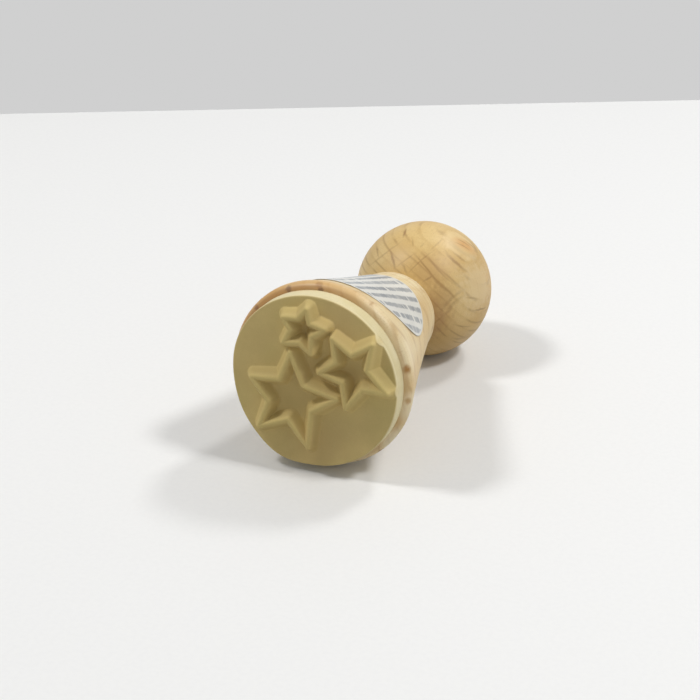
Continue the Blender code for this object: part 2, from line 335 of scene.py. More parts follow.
# Beech cut from a log: growth rings are tubes round the pith, which lies along the stamp's axis. The
# distance from the pith gives the rings, and the angle round it, the distance and the length along
# the grain together give thin ray flecks, pores and fibre streaks.
def beechFinish(name, wood, marks=(), grain=None):
    beech = Finish(name)
    position = beech.position()
    pith = place(around(-wood["pithDistance"], wood["pithTurn"], 0.0))
    towards = heading(wood["pithTurn"])
    across = np.cross(faceOut, towards)
    fromPith = beech.vector("SUBTRACT", position, vectorOf(pith))
    x = beech.vector("DOT_PRODUCT", fromPith, vectorOf(towards))
    y = beech.vector("DOT_PRODUCT", fromPith, vectorOf(across))
    z = beech.vector("DOT_PRODUCT", fromPith, vectorOf(faceOut))
    stretched = beech.join(x, y, z * timber["alongGrain"])
    wander = (beech.noise(stretched, 55, 2) - 0.5) * wood["ringWander"]
    radius = beech.math("SQRT", x * x + y * y) + wander
    swing = beech.math("ARCTAN2", y, x) * wood["pithDistance"]
    inRing = beech.math("FRACT", radius / wood["ringSpacing"])

    late = inRing.step(0.50, 0.90) * inRing.step(1.0, 0.95)
    ringLine = inRing.step(0.66, 0.84) * inRing.step(1.0, 0.86)
    ringLine = ringLine * beech.noise(
        beech.join(swing, radius * 2.0, z), wood["breakScale"], 1.5
    ).step(0.42, 0.58)                                               # broken here and there

    rayPlace = beech.join(swing / wood["rayAcross"], radius / wood["rayDeep"], z / wood["rayLong"])
    ray = beech.cells(rayPlace, 1.0).step(wood["rayWidth"], wood["rayWidth"] * 0.40)
    ray = ray * beech.noise(rayPlace, 0.35, 1).step(0.36, 0.50)      # none at all in places

    fibre = beech.noise(beech.join(x * 9.0, y * 9.0, z * 0.35), timber["fibreScale"], 3, 0.6)
    pores = beech.cells(beech.join(x, y, z * 0.12), timber["poreScale"]).step(0.33, 0.10)
    cloud = beech.noise(stretched, timber["cloudScale"], 2)
    broad = beech.noise(position, timber["broadScale"], 1)

    colour = beech.blend(cloud.step(0.32, 0.70), wood["pale"], wood["warm"])
    colour = beech.blend(broad.step(0.42, 0.68) * timber["broadTone"], colour, wood["deep"])
    colour = beech.blend(fibre.step(0.40, 0.72) * timber["fibreTone"], colour, wood["deep"])
    colour = beech.blend(late * wood["lateTone"], colour, wood["deep"])
    colour = beech.blend(ringLine * wood["lineTone"], colour, wood["dark"])
    colour = beech.blend(ray * wood["rayTone"], colour, wood["dark"])
    colour = beech.blend(pores * timber["poreTone"], colour, wood["dark"])
    if "edge" in wood:             # the front edge is stained, most of all where it faces the edge's turn, and has a line of painted shade next to the cushion
        edge = wood["edge"]
        fromAxis = beech.vector("SUBTRACT", position, vectorOf(headFront))
        facing = beech.vector("DOT_PRODUCT", fromAxis, vectorOf(heading(edge["turn"])))
        facing = facing.step(7 * mm, 27 * mm)
        stain = z.step(-edge["reach"], -0.8 * mm) * (0.05 + facing * 0.95) * (0.55 + cloud)
        colour = beech.blend(stain * edge["tone"], colour, edge["stain"])
        # Painted shade: a brown line along the wood just behind the cushion, where shade falls between
        # wood and cushion.
        line = z.step(-edge["line"], -edge["line"] * 0.35) * broad.step(0.20, 0.50)
        colour = beech.blend(line * (0.40 + facing * 0.60) * edge["lineTone"], colour, edge["brown"])
    for mark in marks:             # round spots with ragged outlines
        spot = place(around(mark["radius"], mark["turn"], mark["height"]))
        ragged = beech.noise(position, mark.get("fray", timber["markFray"]), 2) - 0.5
        gap = beech.vector("DISTANCE", position, vectorOf(spot)) + ragged * mark["size"] * 0.9
        inside = gap.step(mark["size"], mark["size"] * mark.get("core", timber["markCore"]))
        colour = beech.blend(inside * mark["tone"], colour, mark["colour"])
    if grain:
        push = beech.noise(position, timber["fibreScale"], output="Color")
        push = beech.vector("SUBTRACT", push, (0.5,) * 3)
        push = beech.vector("MULTIPLY", push, (timber["strokeWobble"],) * 3)
        pushed = beech.vector("ADD", position, push)
        knot = grainStroke(beech, pushed, **grain["knot"])
        colour = beech.blend(knot * (0.60 + fibre * 0.8), colour, grain["orange"])
        darkest = 0.0
        for stroke in grain["strokes"]:
            darkest = beech.math("MAXIMUM", grainStroke(beech, pushed, **stroke), darkest)
        colour = beech.blend(darkest * (0.50 + fibre * 0.7), colour, wood["stroke"])

    lathe = beech.noise(beech.join(z, 0.0, 0.0), wood["latheScale"], 3, 0.7)
    turned = lathe.step(0.47, 0.62) * (1.0 + z.step(-40 * mm, -47 * mm, 1.6))     # most at the shoulder
    colour = beech.blend(turned * wood["latheTone"], colour, wood["deep"])
    normal = beech.bump(fibre - ray * 0.8 - pores * 0.5, timber["fibreDepth"], 0.45)
    normal = beech.bump(lathe, timber["latheDepth"], wood["latheBump"], normal)
    roughness = timber["roughness"] + (cloud - 0.5 + ray) * timber["roughnessSpread"]
    return beech.surface(
        Base_Color=colour, Roughness=roughness, Normal=normal,
        Coat_Weight=timber["coat"], Coat_Roughness=timber["coatRoughness"],
    )


# Turned handle: head, cone, shoulder and neck

handle = dict(
    headRadius=27.0 * mm, frontRound=2.2 * mm, rimLand=0.8 * mm,
    coneLength=48.0 * mm, coneEnd=13.9 * mm, hollow=0.4 * mm,
    shoulder=7.2 * mm, neckRadius=9.5 * mm, neckLength=3.2 * mm,
    holeRadius=4.3 * mm, dowelLength=30.0 * mm, spareDepth=0.8 * mm,
    turns=256, unevenness=0.03 * mm,
    wood=dict(
        pithTurn=20.0, pithDistance=44 * mm, ringSpacing=2.6 * mm, ringWander=2.2 * mm, breakScale=260,
        rayAcross=2.2 * mm, rayDeep=12.0 * mm, rayLong=20.0 * mm, rayWidth=0.12,
        lateTone=0.25, lineTone=0.30, rayTone=0.30,
        latheScale=760, latheTone=0.27, latheBump=0.35,
        pale=(0.82, 0.70, 0.44), warm=(0.77, 0.60, 0.32),
        deep=(0.62, 0.41, 0.17), dark=(0.34, 0.17, 0.06),
        edge=dict(                 # the turned edge round the front is stained browner, and a brown line just behind the cushion is painted shade
            turn=125.0, reach=5.5 * mm, tone=0.85, stain=(0.64, 0.35, 0.105),
            line=0.9 * mm, lineTone=0.55, brown=(0.40, 0.19, 0.06),
        ),
    ),
    marks=[                        # three pale patches of painted light on the rim's right side, then the dark pits along the front edge
        # Painted light: the next three pale patches brighten the rim where the light falls on its right
        # side.
        dict(turn=20, radius=27 * mm, height=-5.0 * mm, size=6.0 * mm,
             tone=0.40, colour=(0.88, 0.74, 0.46), fray=120),
        dict(turn=-10, radius=27 * mm, height=-2.0 * mm, size=6.0 * mm,
             tone=0.55, colour=(0.89, 0.78, 0.53), fray=120),
        dict(turn=-34, radius=27 * mm, height=-1.5 * mm, size=5.5 * mm,
             tone=0.60, colour=(0.89, 0.78, 0.54), fray=120),
        dict(turn=113, radius=25.6 * mm, height=-0.6 * mm, size=1.5 * mm,
             tone=0.70, colour=(0.18, 0.08, 0.03)),
        dict(turn=93, radius=26.2 * mm, height=-1.0 * mm, size=1.5 * mm,
             tone=0.45, colour=(0.30, 0.12, 0.04)),
        dict(turn=91, radius=25.2 * mm, height=-0.2 * mm, size=1.2 * mm,
             tone=0.75, colour=(0.16, 0.07, 0.03)),
        dict(turn=140, radius=25.8 * mm, height=-0.8 * mm, size=1.2 * mm,
             tone=0.70, colour=(0.24, 0.10, 0.04)),
        dict(turn=14, radius=26.3 * mm, height=-0.8 * mm, size=1.7 * mm,
             tone=0.95, colour=(0.38, 0.17, 0.03), fray=450, core=0.15),
        dict(turn=-6, radius=26.3 * mm, height=-0.8 * mm, size=1.6 * mm,
             tone=0.75, colour=(0.44, 0.22, 0.05), fray=450, core=0.10),
        dict(turn=-46, radius=27 * mm, height=-2.0 * mm, size=1.8 * mm,
             tone=0.75, colour=(0.28, 0.12, 0.05)),
    ],
)
coneTop = -handle["frontRound"] - handle["rimLand"]
shoulderTop = coneTop - handle["coneLength"]
neckEnd = shoulderTop - handle["shoulder"] - handle["neckLength"]
ballSeat = neckEnd - stack["glue"]
dowelMiddle = (neckEnd + ballSeat) / 2
holeReach = handle["dowelLength"] / 2 + handle["spareDepth"]


# Straight taper from the rim to the shoulder, less a shallow hollow 4 h t (1 - t).
def coneRadius(height):
    t = (coneTop - height) / handle["coneLength"]
    taper = handle["headRadius"] + (handle["coneEnd"] - handle["headRadius"]) * t
    return taper - 4 * handle["hollow"] * t * (1 - t)


# From the middle of the front over the rim, down the cone and the neck, and back into the dowel's hole.
def handleProfile():
    edge = handle["headRadius"] - handle["frontRound"]
    coneHeights = np.linspace(coneTop, shoulderTop, 90)
    cone = np.stack([coneRadius(coneHeights), coneHeights], axis=-1)
    shoulderShape = (handle["coneEnd"] - handle["neckRadius"], handle["shoulder"])
    holeFloor = dowelMiddle + holeReach
    hole, neck = handle["holeRadius"], handle["neckRadius"]
    return profileOf(
        (0.0, 0.0),
        alongLine((0.0, 0.0), (edge, 0.0), 12),
        alongArc((edge, -handle["frontRound"]), (handle["frontRound"], handle["frontRound"]), 90, 0, 14),
        cone,
        alongArc((neck, shoulderTop), shoulderShape, 0, -90, 24),
        alongLine((neck, shoulderTop - handle["shoulder"]), (neck, neckEnd), 6),
        alongLine((neck, neckEnd), (hole, neckEnd), 4),
        alongLine((hole, neckEnd), (hole, holeFloor), 12),
        (0.0, holeFloor),
    )


# A hair of unevenness from turning and sanding, inwards only.
def handleSwell(angle, height, radius):
    drift = waves(11, 6, 0.5, 1.5, np.cos(angle) * 2, np.sin(angle) * 2, height / (9 * mm))
    return -handle["unevenness"] * (0.5 + 0.5 * np.clip(drift, -1, 1))


handleRadii, handleHeights = handleProfile()
turnedHandle = turnedPiece("turned_handle", handleRadii, handleHeights, handle["turns"], handleSwell)
turnedHandle.data.materials.append(beechFinish("handle_beech", handle["wood"], handle["marks"]))
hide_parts("handle_body")
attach(turnedHandle, "root")
print("handle turned:", len(turnedHandle.data.polygons), "faces")


# Turned ball

ball = dict(
    radius=20.97 * mm, turns=256, unevenness=0.03 * mm,
    wood=dict(
        pithTurn=54.5, pithDistance=30 * mm, ringSpacing=2.3 * mm, ringWander=1.6 * mm, breakScale=150,
        rayAcross=3.0 * mm, rayDeep=12.0 * mm, rayLong=22.0 * mm, rayWidth=0.12,
        lateTone=0.24, lineTone=0.36, rayTone=0.30,
        latheScale=700, latheTone=0.04, latheBump=0.25,
        pale=(0.76, 0.56, 0.25), warm=(0.69, 0.47, 0.175),
        deep=(0.54, 0.33, 0.10), dark=(0.26, 0.13, 0.04), stroke=(0.30, 0.155, 0.045),
    ),
    patches=[                      # turn, mm ahead of the middle, size in mm; a pale halo round the knot, then painted shade next to the neck and painted light on the right side
        dict(turn=54.0, ahead=1.5, size=7.0, tone=0.40, core=0.60, colour=(0.86, 0.67, 0.36), fray=300),
        # Painted shade: the next four dark patches lie next to the neck, where the cone shades the ball.
        dict(turn=58.0, ahead=15.5, size=8.5, tone=0.50, core=0.20, colour=(0.50, 0.29, 0.10)),
        dict(turn=18.0, ahead=17.0, size=7.0, tone=0.45, core=0.20, colour=(0.46, 0.26, 0.09)),
        dict(turn=-20.0, ahead=18.5, size=9.0, tone=0.55, core=0.20, colour=(0.40, 0.21, 0.08)),
        dict(turn=100.0, ahead=14.0, size=8.0, tone=0.30, core=0.20, colour=(0.58, 0.37, 0.13)),
        # Painted light: a pale patch on the ball's right side, where the light falls.
        dict(turn=16.0, ahead=5.0, size=11.0, tone=0.45, core=0.30, colour=(0.80, 0.65, 0.40)),
    ],
    strokes=[                      # tone, width in mm, then turn and mm ahead of the middle, thrice
        (0.80, 0.50, (115, 12.3), (110, 15.2), (106, 17.7)),
        (0.50, 0.42, (134, 7.4), (131, 11.0), (129, 14.2)),
        (0.90, 0.50, (106, 3.3), (104, 6.2), (103, 8.9)),
        (0.45, 0.40, (94, 8.9), (92, 10.2), (89, 12.0)),
        (0.75, 0.50, (86, 13.6), (64, 15.6), (36, 15.9)),
        (0.55, 0.46, (78, 11.8), (53, 14.2), (26, 12.7)),
        (0.80, 0.50, (60, 8.9), (47, 9.3), (32, 7.4)),
        (0.55, 0.42, (55, 7.2), (48, 6.9), (39, 5.7)),
        (0.45, 0.45, (56, 15.8), (36, 16.0), (19, 14.2)),
        (0.45, 0.40, (99, 15.9), (92, 17.1), (82, 18.4)),
        (0.45, 0.42, (147, 13.1), (124, 13.4), (102, 9.8)),
        (0.50, 0.45, (86, 18.4), (76, 15.6), (68, 10.2)),
        (0.35, 0.42, (72, 11.5), (70, 8.2), (69, 4.6)),
        (0.40, 0.40, (106, 17.3), (96, 16.1), (82, 13.2)),
        (0.55, 0.42, (56, 18.2), (53, 17.0), (50, 15.2)),
        (0.40, 0.40, (12, 11.4), (8, 8.2), (4, 5.0)),
        (0.75, 0.46, (-3, 8.8), (-6, 4.2), (-7, -0.4)),
        (0.50, 0.42, (-17, 14.0), (-20, 10.2), (-21, 6.4)),
        (0.45, 0.40, (-35, 12.0), (-36, 8.8), (-35, 5.6)),
        (0.40, 0.44, (-3, 17.4), (13, 15.4), (19, 10.4)),
        (0.35, 0.42, (-8, 16.4), (5, 15.2), (14, 11.0)),
        (0.45, 0.42, (-25, 18.0), (-15, 17.5), (-5, 16.5)),
    ],
    bullseye=dict(                 # as a stroke too: a knot of orange wood with streaks along it
        core=(0.85, 3.2, (63, 3.4), (54, 1.0), (40, -1.8)), orange=(0.66, 0.36, 0.12),
        streaks=[
            (0.65, 0.42, (61, 1.2), (55, 0.0), (47, -1.4)),
            (0.55, 0.38, (60, 3.4), (53, 1.9), (45, 0.6)),
            (0.50, 0.36, (56, -1.6), (50, -2.3), (43, -3.6)),
        ],
    ),
)
ballCentre = ballSeat - math.sqrt(ball["radius"] ** 2 - handle["neckRadius"] ** 2)


# Stamp radius, turn and height of a point of the ball that lies so far ahead of its middle.
def onBall(turn, ahead):
    return math.sqrt(ball["radius"] ** 2 - ahead ** 2), turn, ballCentre + ahead


# A stroke of the list above as the points, width and tone that grainStroke takes.
def ballStroke(stroke):
    tone, width, *points = stroke
    start, middle, end = [Vector(place(around(*onBall(turn, ahead * mm)))) for turn, ahead in points]
    return dict(start=start, middle=middle, end=end, width=width * mm, tone=tone)


# The knot and all strokes of the ball in world points.
def ballGrain():
    knot = ball["bullseye"]
    strokes = [ballStroke(stroke) for stroke in ball["strokes"] + knot["streaks"]]
    return dict(knot=ballStroke(knot["core"]), orange=knot["orange"], strokes=strokes)


# The patches of the ball as marks in metres.
def ballMarks():
    marks = []
    for patch in ball["patches"]:
        radius, turn, height = onBall(patch["turn"], patch["ahead"] * mm)
        marks.append(dict(patch, radius=radius, turn=turn, height=height, size=patch["size"] * mm))
    return marks


# From the floor of the dowel's hole out to the seat, then round the sphere to its far pole.
def ballProfile():
    holeFloor = dowelMiddle - holeReach
    hole, neck, radius = handle["holeRadius"], handle["neckRadius"], ball["radius"]
    seatTurn = math.degrees(math.acos(neck / radius))
    return profileOf(
        [(0.0, holeFloor), (hole, holeFloor)],
        alongLine((hole, holeFloor), (hole, ballSeat), 12),
        alongLine((hole, ballSeat), (neck, ballSeat), 4),
        alongArc((0.0, ballCentre), (radius, radius), seatTurn, -89.4, 150),
        (0.0, ballCentre - radius),
    )


# The same hair of unevenness, which fades to nothing at the poles.
def ballSwell(angle, height, radius):
    drift = waves(23, 6, 0.5, 1.5, np.cos(angle) * 2, np.sin(angle) * 2, height / (9 * mm))
    return -ball["unevenness"] * (0.5 + 0.5 * np.clip(drift, -1, 1)) * radius / ball["radius"]


ballRadii, ballHeights = ballProfile()
turnedBall = turnedPiece("turned_ball", ballRadii, ballHeights, ball["turns"], ballSwell)
turnedBall.data.materials.append(beechFinish("ball_beech", ball["wood"], ballMarks(), ballGrain()))
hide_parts("ball_knob")
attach(turnedBall, "root")
print("ball turned:", len(turnedBall.data.polygons), "faces")

dowelWood = dict(handle["wood"], pithTurn=140.0, pithDistance=25 * mm, pale=(0.78, 0.62, 0.42))
dowelNode = frame["nodes"]["dowel_pin"]
dowelNode.material_slots[0].material = beechFinish("dowel_wood", dowelWood)


# Rubber face: a round sheet with three raised star outlines

rubber = dict(
    radius=25.0 * mm, relief=3.0 * mm, halfCrest=0.55 * mm,
    innerRun=1.95 * mm, valleyRun=2.4 * mm, tipRun=1.85 * mm,      # widths of the flanks
    crestRound=0.20, rootRound=0.12, edgeRound=0.36 * mm, grid=296,
    recessShade=(                        # right, up and reach in mm, and tone, of the painted shade in the recesses
        (11.8, 4.6, 4.2, 1.10), (-2.2, 15.2, 3.1, 1.2), (2.0, 5.2, 4.2, 0.85), (-6.2, -5.8, 7.0, 0.54),
        (11.0, -0.5, 2.4, 0.5), (4.5, -1.0, 3.2, 0.35),
    ),
    bulge=1.0 * mm, bulgeTurn=-112.0, bulgeSpread=17.0,      # the disc is cut by hand
    dent=0.6 * mm, dentTurn=-170.0, dentSpread=24.0, wave=0.05 * mm,
    khaki=(0.620, 0.474, 0.190), light=(0.682, 0.530, 0.216),
    brown=(0.610, 0.432, 0.185), olive=(0.585, 0.480, 0.175),
    # Painted shade: flank and the darkest brown after it darken the ridge flanks and the recesses.
    crest=(0.690, 0.550, 0.195), flank=(0.50, 0.37, 0.12), recessShadeColour=(0.40, 0.27, 0.09),
    dust=(0.70, 0.62, 0.38), grain=(0.42, 0.31, 0.10), pale=(0.78, 0.69, 0.43),
    cutSteps=(0.15, 0.35, 0.60, 0.85, 1.0, 1.0, 1.0),        # how pale the rings down the cut wall are
    stars=dict(                    # crest corners in mm right and up, a tip and a valley in turn
        large=(
            (8.3, -2.7), (-1.7, -0.6), (-5.8, 8.4), (-8.9, 0.1), (-17.5, -0.8),
            (-12.1, -7.1), (-14.9, -15.3), (-6.1, -11.5), (0.1, -18.8), (0.9, -7.8),
        ),
        medium=(
            (18.2, 14.8), (12.3, 11.0), (6.5, 14.6), (7.8, 8.1), (2.9, 4.2),
            (9.9, 2.4), (11.1, -4.8), (16.0, 1.6), (23.0, 1.6), (17.0, 7.4),
        ),
        small=(
            (4.1, 16.9), (-0.3, 17.9), (-1.4, 21.7), (-3.8, 18.8), (-8.2, 18.4),
            (-5.9, 15.3), (-8.0, 11.1), (-3.1, 11.8), (0.3, 9.2), (0.4, 14.1),
        ),
    ),
)


# Outline of the hand-cut discs: a circle with one low bulge and one shallow dent, turn in degrees.
def cutRadius(turn, radius):
    def hump(middle, spread):
        off = (turn - middle + 180) % 360 - 180
        return np.exp(-((off / spread) ** 2))
    swell = rubber["bulge"] * hump(rubber["bulgeTurn"], rubber["bulgeSpread"])
    return radius + swell - rubber["dent"] * hump(rubber["dentTurn"], rubber["dentSpread"])


# Distance of each point to the nearest edge of a closed outline, and whether it lies inside.
def crestDistance(x, y, corners):
    nearest = np.full(x.shape, np.inf)
    inside = np.zeros(x.shape, dtype=bool)
    for (ax, ay), (bx, by) in zip(corners, np.roll(corners, -1, axis=0)):
        ex, ey = bx - ax, by - ay
        t = np.clip(((x - ax) * ex + (y - ay) * ey) / (ex * ex + ey * ey), 0, 1)
        nearest = np.minimum(nearest, np.hypot(x - ax - t * ex, y - ay - t * ey))
        inside ^= ((ay > y) != (by > y)) & (x < ax + (y - ay) * ex / (ey or 1e-9))
    return nearest, inside


# Width of the flank: one width inside the star, and outside it one that shrinks from valley to tip.
def flankRun(x, y, corners, inside):
    middle = corners.mean(axis=0)
    tips, valleys = (np.linalg.norm(corners[k::2] - middle, axis=1).mean() for k in (0, 1))
    far = np.clip((np.hypot(x - middle[0], y - middle[1]) - valleys) / (tips - valleys), 0, 1.2)
    outer = rubber["valleyRun"] + (rubber["tipRun"] - rubber["valleyRun"]) * far
    return np.where(inside, rubber["innerRun"], outer)


# Share of the relief: 1 on the crest, a straight flank, 0 on the base, both corners rounded.
def ridgeHeight(distance, run):
    flank = 1 - (distance - rubber["halfCrest"]) / run
    top = 1 - softMaximum(1 - flank, 0.0 * flank, rubber["crestRound"])
    return softMaximum(top, 0.0 * top, rubber["rootRound"])


# Height of the rubber over its base, as a share of the relief: the highest of the three stars.
def reliefAt(x, y):
    height = np.zeros_like(x)
    for star in rubber["stars"].values():
        corners = np.array(star) * mm
        distance, inside = crestDistance(x, y, corners)
        height = softMaximum(height, ridgeHeight(distance, flankRun(x, y, corners, inside)), 0.04)
    return np.clip(height, 0, 1)


# Square grid (u, v) pressed into a disc: x = u sqrt(1 - v^2 / 2), y = v sqrt(1 - u^2 / 2), lifted by
# the relief. Its border runs down over a small rounding and a wall to the flat back.
def rubberPiece():
    n = rubber["grid"]
    u, v = np.meshgrid(np.linspace(-1, 1, n), np.linspace(-1, 1, n), indexing="ij")
    x, y = u * np.sqrt(1 - v * v / 2), v * np.sqrt(1 - u * u / 2)
    turn = np.degrees(np.arctan2(y, x))
    flat = cutRadius(turn, rubber["radius"]) - rubber["edgeRound"]
    share = np.hypot(x, y)
    radius = share * (rubber["radius"] + (flat - rubber["radius"]) * share ** 6)
    x, y = radius * np.cos(np.radians(turn)), radius * np.sin(np.radians(turn))
    relief = reliefAt(x, y)
    wave = waves(5, 7, 120, 420, x, y)
    height = rubberFace + relief * rubber["relief"] - (0.5 + 0.5 * np.clip(wave, -1, 1)) * rubber["wave"]
    top = np.stack([x, y, height], axis=-1).reshape(-1, 3)

    number = np.arange(n * n).reshape(n, n)
    quads = np.stack([number[:-1, :-1], number[1:, :-1], number[1:, 1:], number[:-1, 1:]], axis=-1)
    border = np.concatenate([number[:-1, 0], number[-1, :-1], number[:0:-1, -1], number[0, :0:-1]])
    edge = top[border]
    outward = edge[:, :2] / np.linalg.norm(edge[:, :2], axis=1)[:, None]
    rings = []
    for bend in (22.5, 45, 67.5, 90):
        aside = rubber["edgeRound"] * math.sin(math.radians(bend))
        down = rubber["edgeRound"] * (1 - math.cos(math.radians(bend)))
        rings.append(np.column_stack([edge[:, :2] + outward * aside, edge[:, 2] - down]))
    wall = rings[-1]
    foot = np.column_stack([wall[:, :2], np.full(len(wall), rubberBack - stack["glue"] / 2)])
    rings += [wall * 0.5 + foot * 0.5, foot, foot * [0.5, 0.5, 1.0]]
    count = len(border)
    side = np.concatenate([border[None, :], n * n + np.arange(len(rings) * count).reshape(-1, count)])
    sideQuads = np.stack(
        [side[:-1], np.roll(side[:-1], -1, axis=1), np.roll(side[1:], -1, axis=1), side[1:]], axis=-1
    )
    middle = n * n + len(rings) * count
    points = np.concatenate([top, *rings, [[0.0, 0.0, foot[0, 2]]]])
    faces = [quads.reshape(-1, 4), sideQuads[..., ::-1].reshape(-1, 4)]
    back = fanFaces(side[-1], middle, True)
    rest = np.zeros(len(points) - n * n)
    raised = relief.ravel()[border]                # a ridge that ends here keeps more of its own colour
    wallCut = np.outer(rubber["cutSteps"], 1 - raised * 0.75).ravel()
    # Painted shade: darker patches in the star recesses, where shade falls.
    recessShade = sum(tone * np.exp(-((x - a * mm) ** 2 + (y - b * mm) ** 2) / (reach * mm) ** 2)
                for a, b, reach, tone in rubber["recessShade"])
    looks = dict(
        lift=np.concatenate([relief.ravel(), rest]),
        recessShade=np.concatenate([(recessShade * (1 - relief * 0.65)).ravel(), rest]),
        cut=np.concatenate([np.zeros(n * n), wallCut, [1.0]]),
    )
    return meshPiece("rubber_relief", place(points), [*faces, back], looks)


# Matt khaki rubber: olive and brown mottling, specks of dust, painted shade on the ridge flanks and in
# the recesses, and a paler cut edge.
def rubberFinish():
    khaki = Finish("khaki_rubber")
    position = khaki.position()
    lift = khaki.attribute("lift")
    mottle = khaki.noise(position, 130, 3)
    tint = khaki.noise(position, 62, 2)
    grain = khaki.noise(position, 2600, 3, 0.6)
    dusty = khaki.noise(position, 300, 1).step(0.50, 0.62)
    specks = khaki.cells(position, 900).step(0.14, 0.05) * dusty
    # Painted shade: mask of the ridge flanks, which are darkened as if in shade.
    flankShadeMask = lift.step(0.02, 0.30) * lift.step(0.85, 0.50)
    colour = khaki.blend(mottle.step(0.30, 0.72), rubber["khaki"], rubber["light"])
    colour = khaki.blend(tint.step(0.50, 0.72) * 0.40, colour, rubber["brown"])
    colour = khaki.blend(tint.step(0.48, 0.28) * 0.40, colour, rubber["olive"])
    colour = khaki.blend(lift.step(0.72, 1.0) * 0.40, colour, rubber["crest"])
    # Painted shade on the ridge flanks.
    colour = khaki.blend(flankShadeMask * 0.30, colour, rubber["flank"])
    # Painted shade in the recesses of the stars.
    colour = khaki.blend(khaki.attribute("recessShade") * 0.62, colour, rubber["recessShadeColour"])
    colour = khaki.blend(specks * 0.35, colour, rubber["dust"])
    colour = khaki.blend(grain.step(0.35, 0.70) * 0.10, colour, rubber["grain"])
    colour = khaki.blend(khaki.attribute("cut") * 0.92, colour, rubber["pale"])
    normal = khaki.bump(grain, 0.03 * mm, 0.5)
    normal = khaki.bump(mottle, 0.10 * mm, 0.3, normal)
    return khaki.surface(
        Base_Color=colour, Roughness=0.68 + (mottle - 0.5) * 0.15, Normal=normal, Specular_IOR_Level=0.35
    )


rubberFaceRelief = rubberPiece()
rubberFaceRelief.data.materials.append(rubberFinish())
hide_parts("rubber_die")
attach(rubberFaceRelief, "root")
print("rubber face:", len(rubberFaceRelief.data.polygons), "faces")


# Foam cushion between wood and rubber

cushion = dict(
    radius=25.04 * mm, turns=300, edgeRound=0.04 * mm, waist=0.02 * mm, ragged=0.03 * mm,
    pale=(0.755, 0.665, 0.425), cream=(0.70, 0.605, 0.345), pit=(0.46, 0.37, 0.17),
    paintedLightTurn=-55.0, paintedLightColour=(0.93, 0.84, 0.545),      # painted light: the lower right side is lighter, where the light falls
)


# Lathe surface with a slightly drawn-in edge, whose radius follows the hand-cut outline.
def cushionPiece():
    back, front = cushionBack - stack["glue"], cushionFront + stack["glue"] / 2
    rounding, radius = cushion["edgeRound"], cushion["radius"]
    side = alongLine((radius, front - rounding), (radius, back + rounding), 16)
    depth = (side[:, 1] - back) / (front - back)
    side[:, 0] -= cushion["waist"] * np.sin(np.pi * depth)
    inner = radius - rounding
    radii, heights = profileOf(
        (0.0, front),
        alongLine((0.0, front), (inner, front), 6),
        alongArc((inner, front - rounding), (rounding, rounding), 90, 0, 6),
        side,
        alongArc((inner, back + rounding), (rounding, rounding), 0, -90, 6),
        alongLine((inner, back), (inner * 0.1, back), 5),
        (0.0, back),
    )

    def swell(angle, height, ringRadius):
        share = ringRadius / radius
        outline = cutRadius(np.degrees(angle), radius) - radius
        rough = waves(31, 9, 8, 40, np.cos(angle), np.sin(angle), height / (2 * mm) * 0.1)
        return (outline - cushion["ragged"] * (0.5 + 0.5 * np.clip(rough, -1, 1))) * share ** 4
    return turnedPiece("cushion_disc", radii, heights, cushion["turns"], swell)


# Cream foam rubber with a knife-cut edge: fine open cells, faint lines round the cut, and the lower right
# side painted lighter, where the light falls.
def cushionFinish():
    foam = Finish("cream_cushion")
    position = foam.position()
    cell = foam.cells(position, 2400)
    pits = cell.step(0.30, 0.12)
    cloud = foam.noise(position, 160, 3)
    height = foam.vector("DOT_PRODUCT", position, vectorOf(faceOut))
    cutLine = foam.noise(foam.join(height, 0.0, 0.0), 2500, 2)
    fromAxis = foam.vector("SUBTRACT", position, vectorOf(headFront))
    facing = foam.vector("DOT_PRODUCT", fromAxis, vectorOf(heading(cushion["paintedLightTurn"])))
    colour = foam.blend(cloud.step(0.30, 0.70), cushion["pale"], cushion["cream"])
    # Painted light on the lower right side of the cushion.
    colour = foam.blend(facing.step(10 * mm, 26 * mm) * 0.9, colour, cushion["paintedLightColour"])
    colour = foam.blend(pits * 0.30, colour, cushion["pit"])
    colour = foam.blend(cutLine.step(0.55, 0.75) * 0.12, colour, cushion["pit"])
    normal = foam.bump(cell, 0.06 * mm, 0.6)
    return foam.surface(Base_Color=colour, Roughness=0.85, Normal=normal, Specular_IOR_Level=0.25)


cushionDisc = cushionPiece()
cushionDisc.data.materials.append(cushionFinish())
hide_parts("foam_cushion")
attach(cushionDisc, "root")
print("cushion:", len(cushionDisc.data.polygons), "faces")


# Round paper label on the cone

label = dict(
    radius=19.9 * mm, thickness=0.12 * mm, lift=0.05 * mm, back=23.1 * mm, turn=75.0,
    rings=60, turns=220, curl=0.25 * mm, wrinkle=0.05 * mm,
    rowTurn=8.5, rowSpacing=3.75 * mm, rowOffset=1.2 * mm,
    barHalf=0.24, barSpread=0.09, barTone=0.52, barFade=0.38,        # half heights are shares of a row
    paper=(0.76, 0.75, 0.695), shade=(0.69, 0.685, 0.64), fibre=(0.50, 0.50, 0.48),
    ink=(0.12, 0.15, 0.19), faint=(0.25, 0.29, 0.33),
)


# Point of the flat label laid on the cone, which unrolls into a fan. In the fan the distance from the
# apex gives the height, and its angle, opened out by 1 / sin(lean), the turn round the axis; lift is
# measured square to the wood.
def onCone(across, turn, lift):
    lean = math.atan2(handle["headRadius"] - handle["coneEnd"], handle["coneLength"])
    middle = coneTop - label["back"]
    apex = coneRadius(middle) / math.sin(lean)
    along, aside = apex + across * np.cos(turn), across * np.sin(turn)
    height = middle + (np.hypot(along, aside) - apex) * math.cos(lean)
    opened = label["turn"] + np.degrees(np.arctan2(aside, along) / math.sin(lean))
    radius = coneRadius(height) + lift * math.cos(lean)
    return around(radius, opened, height - lift * math.sin(lean))


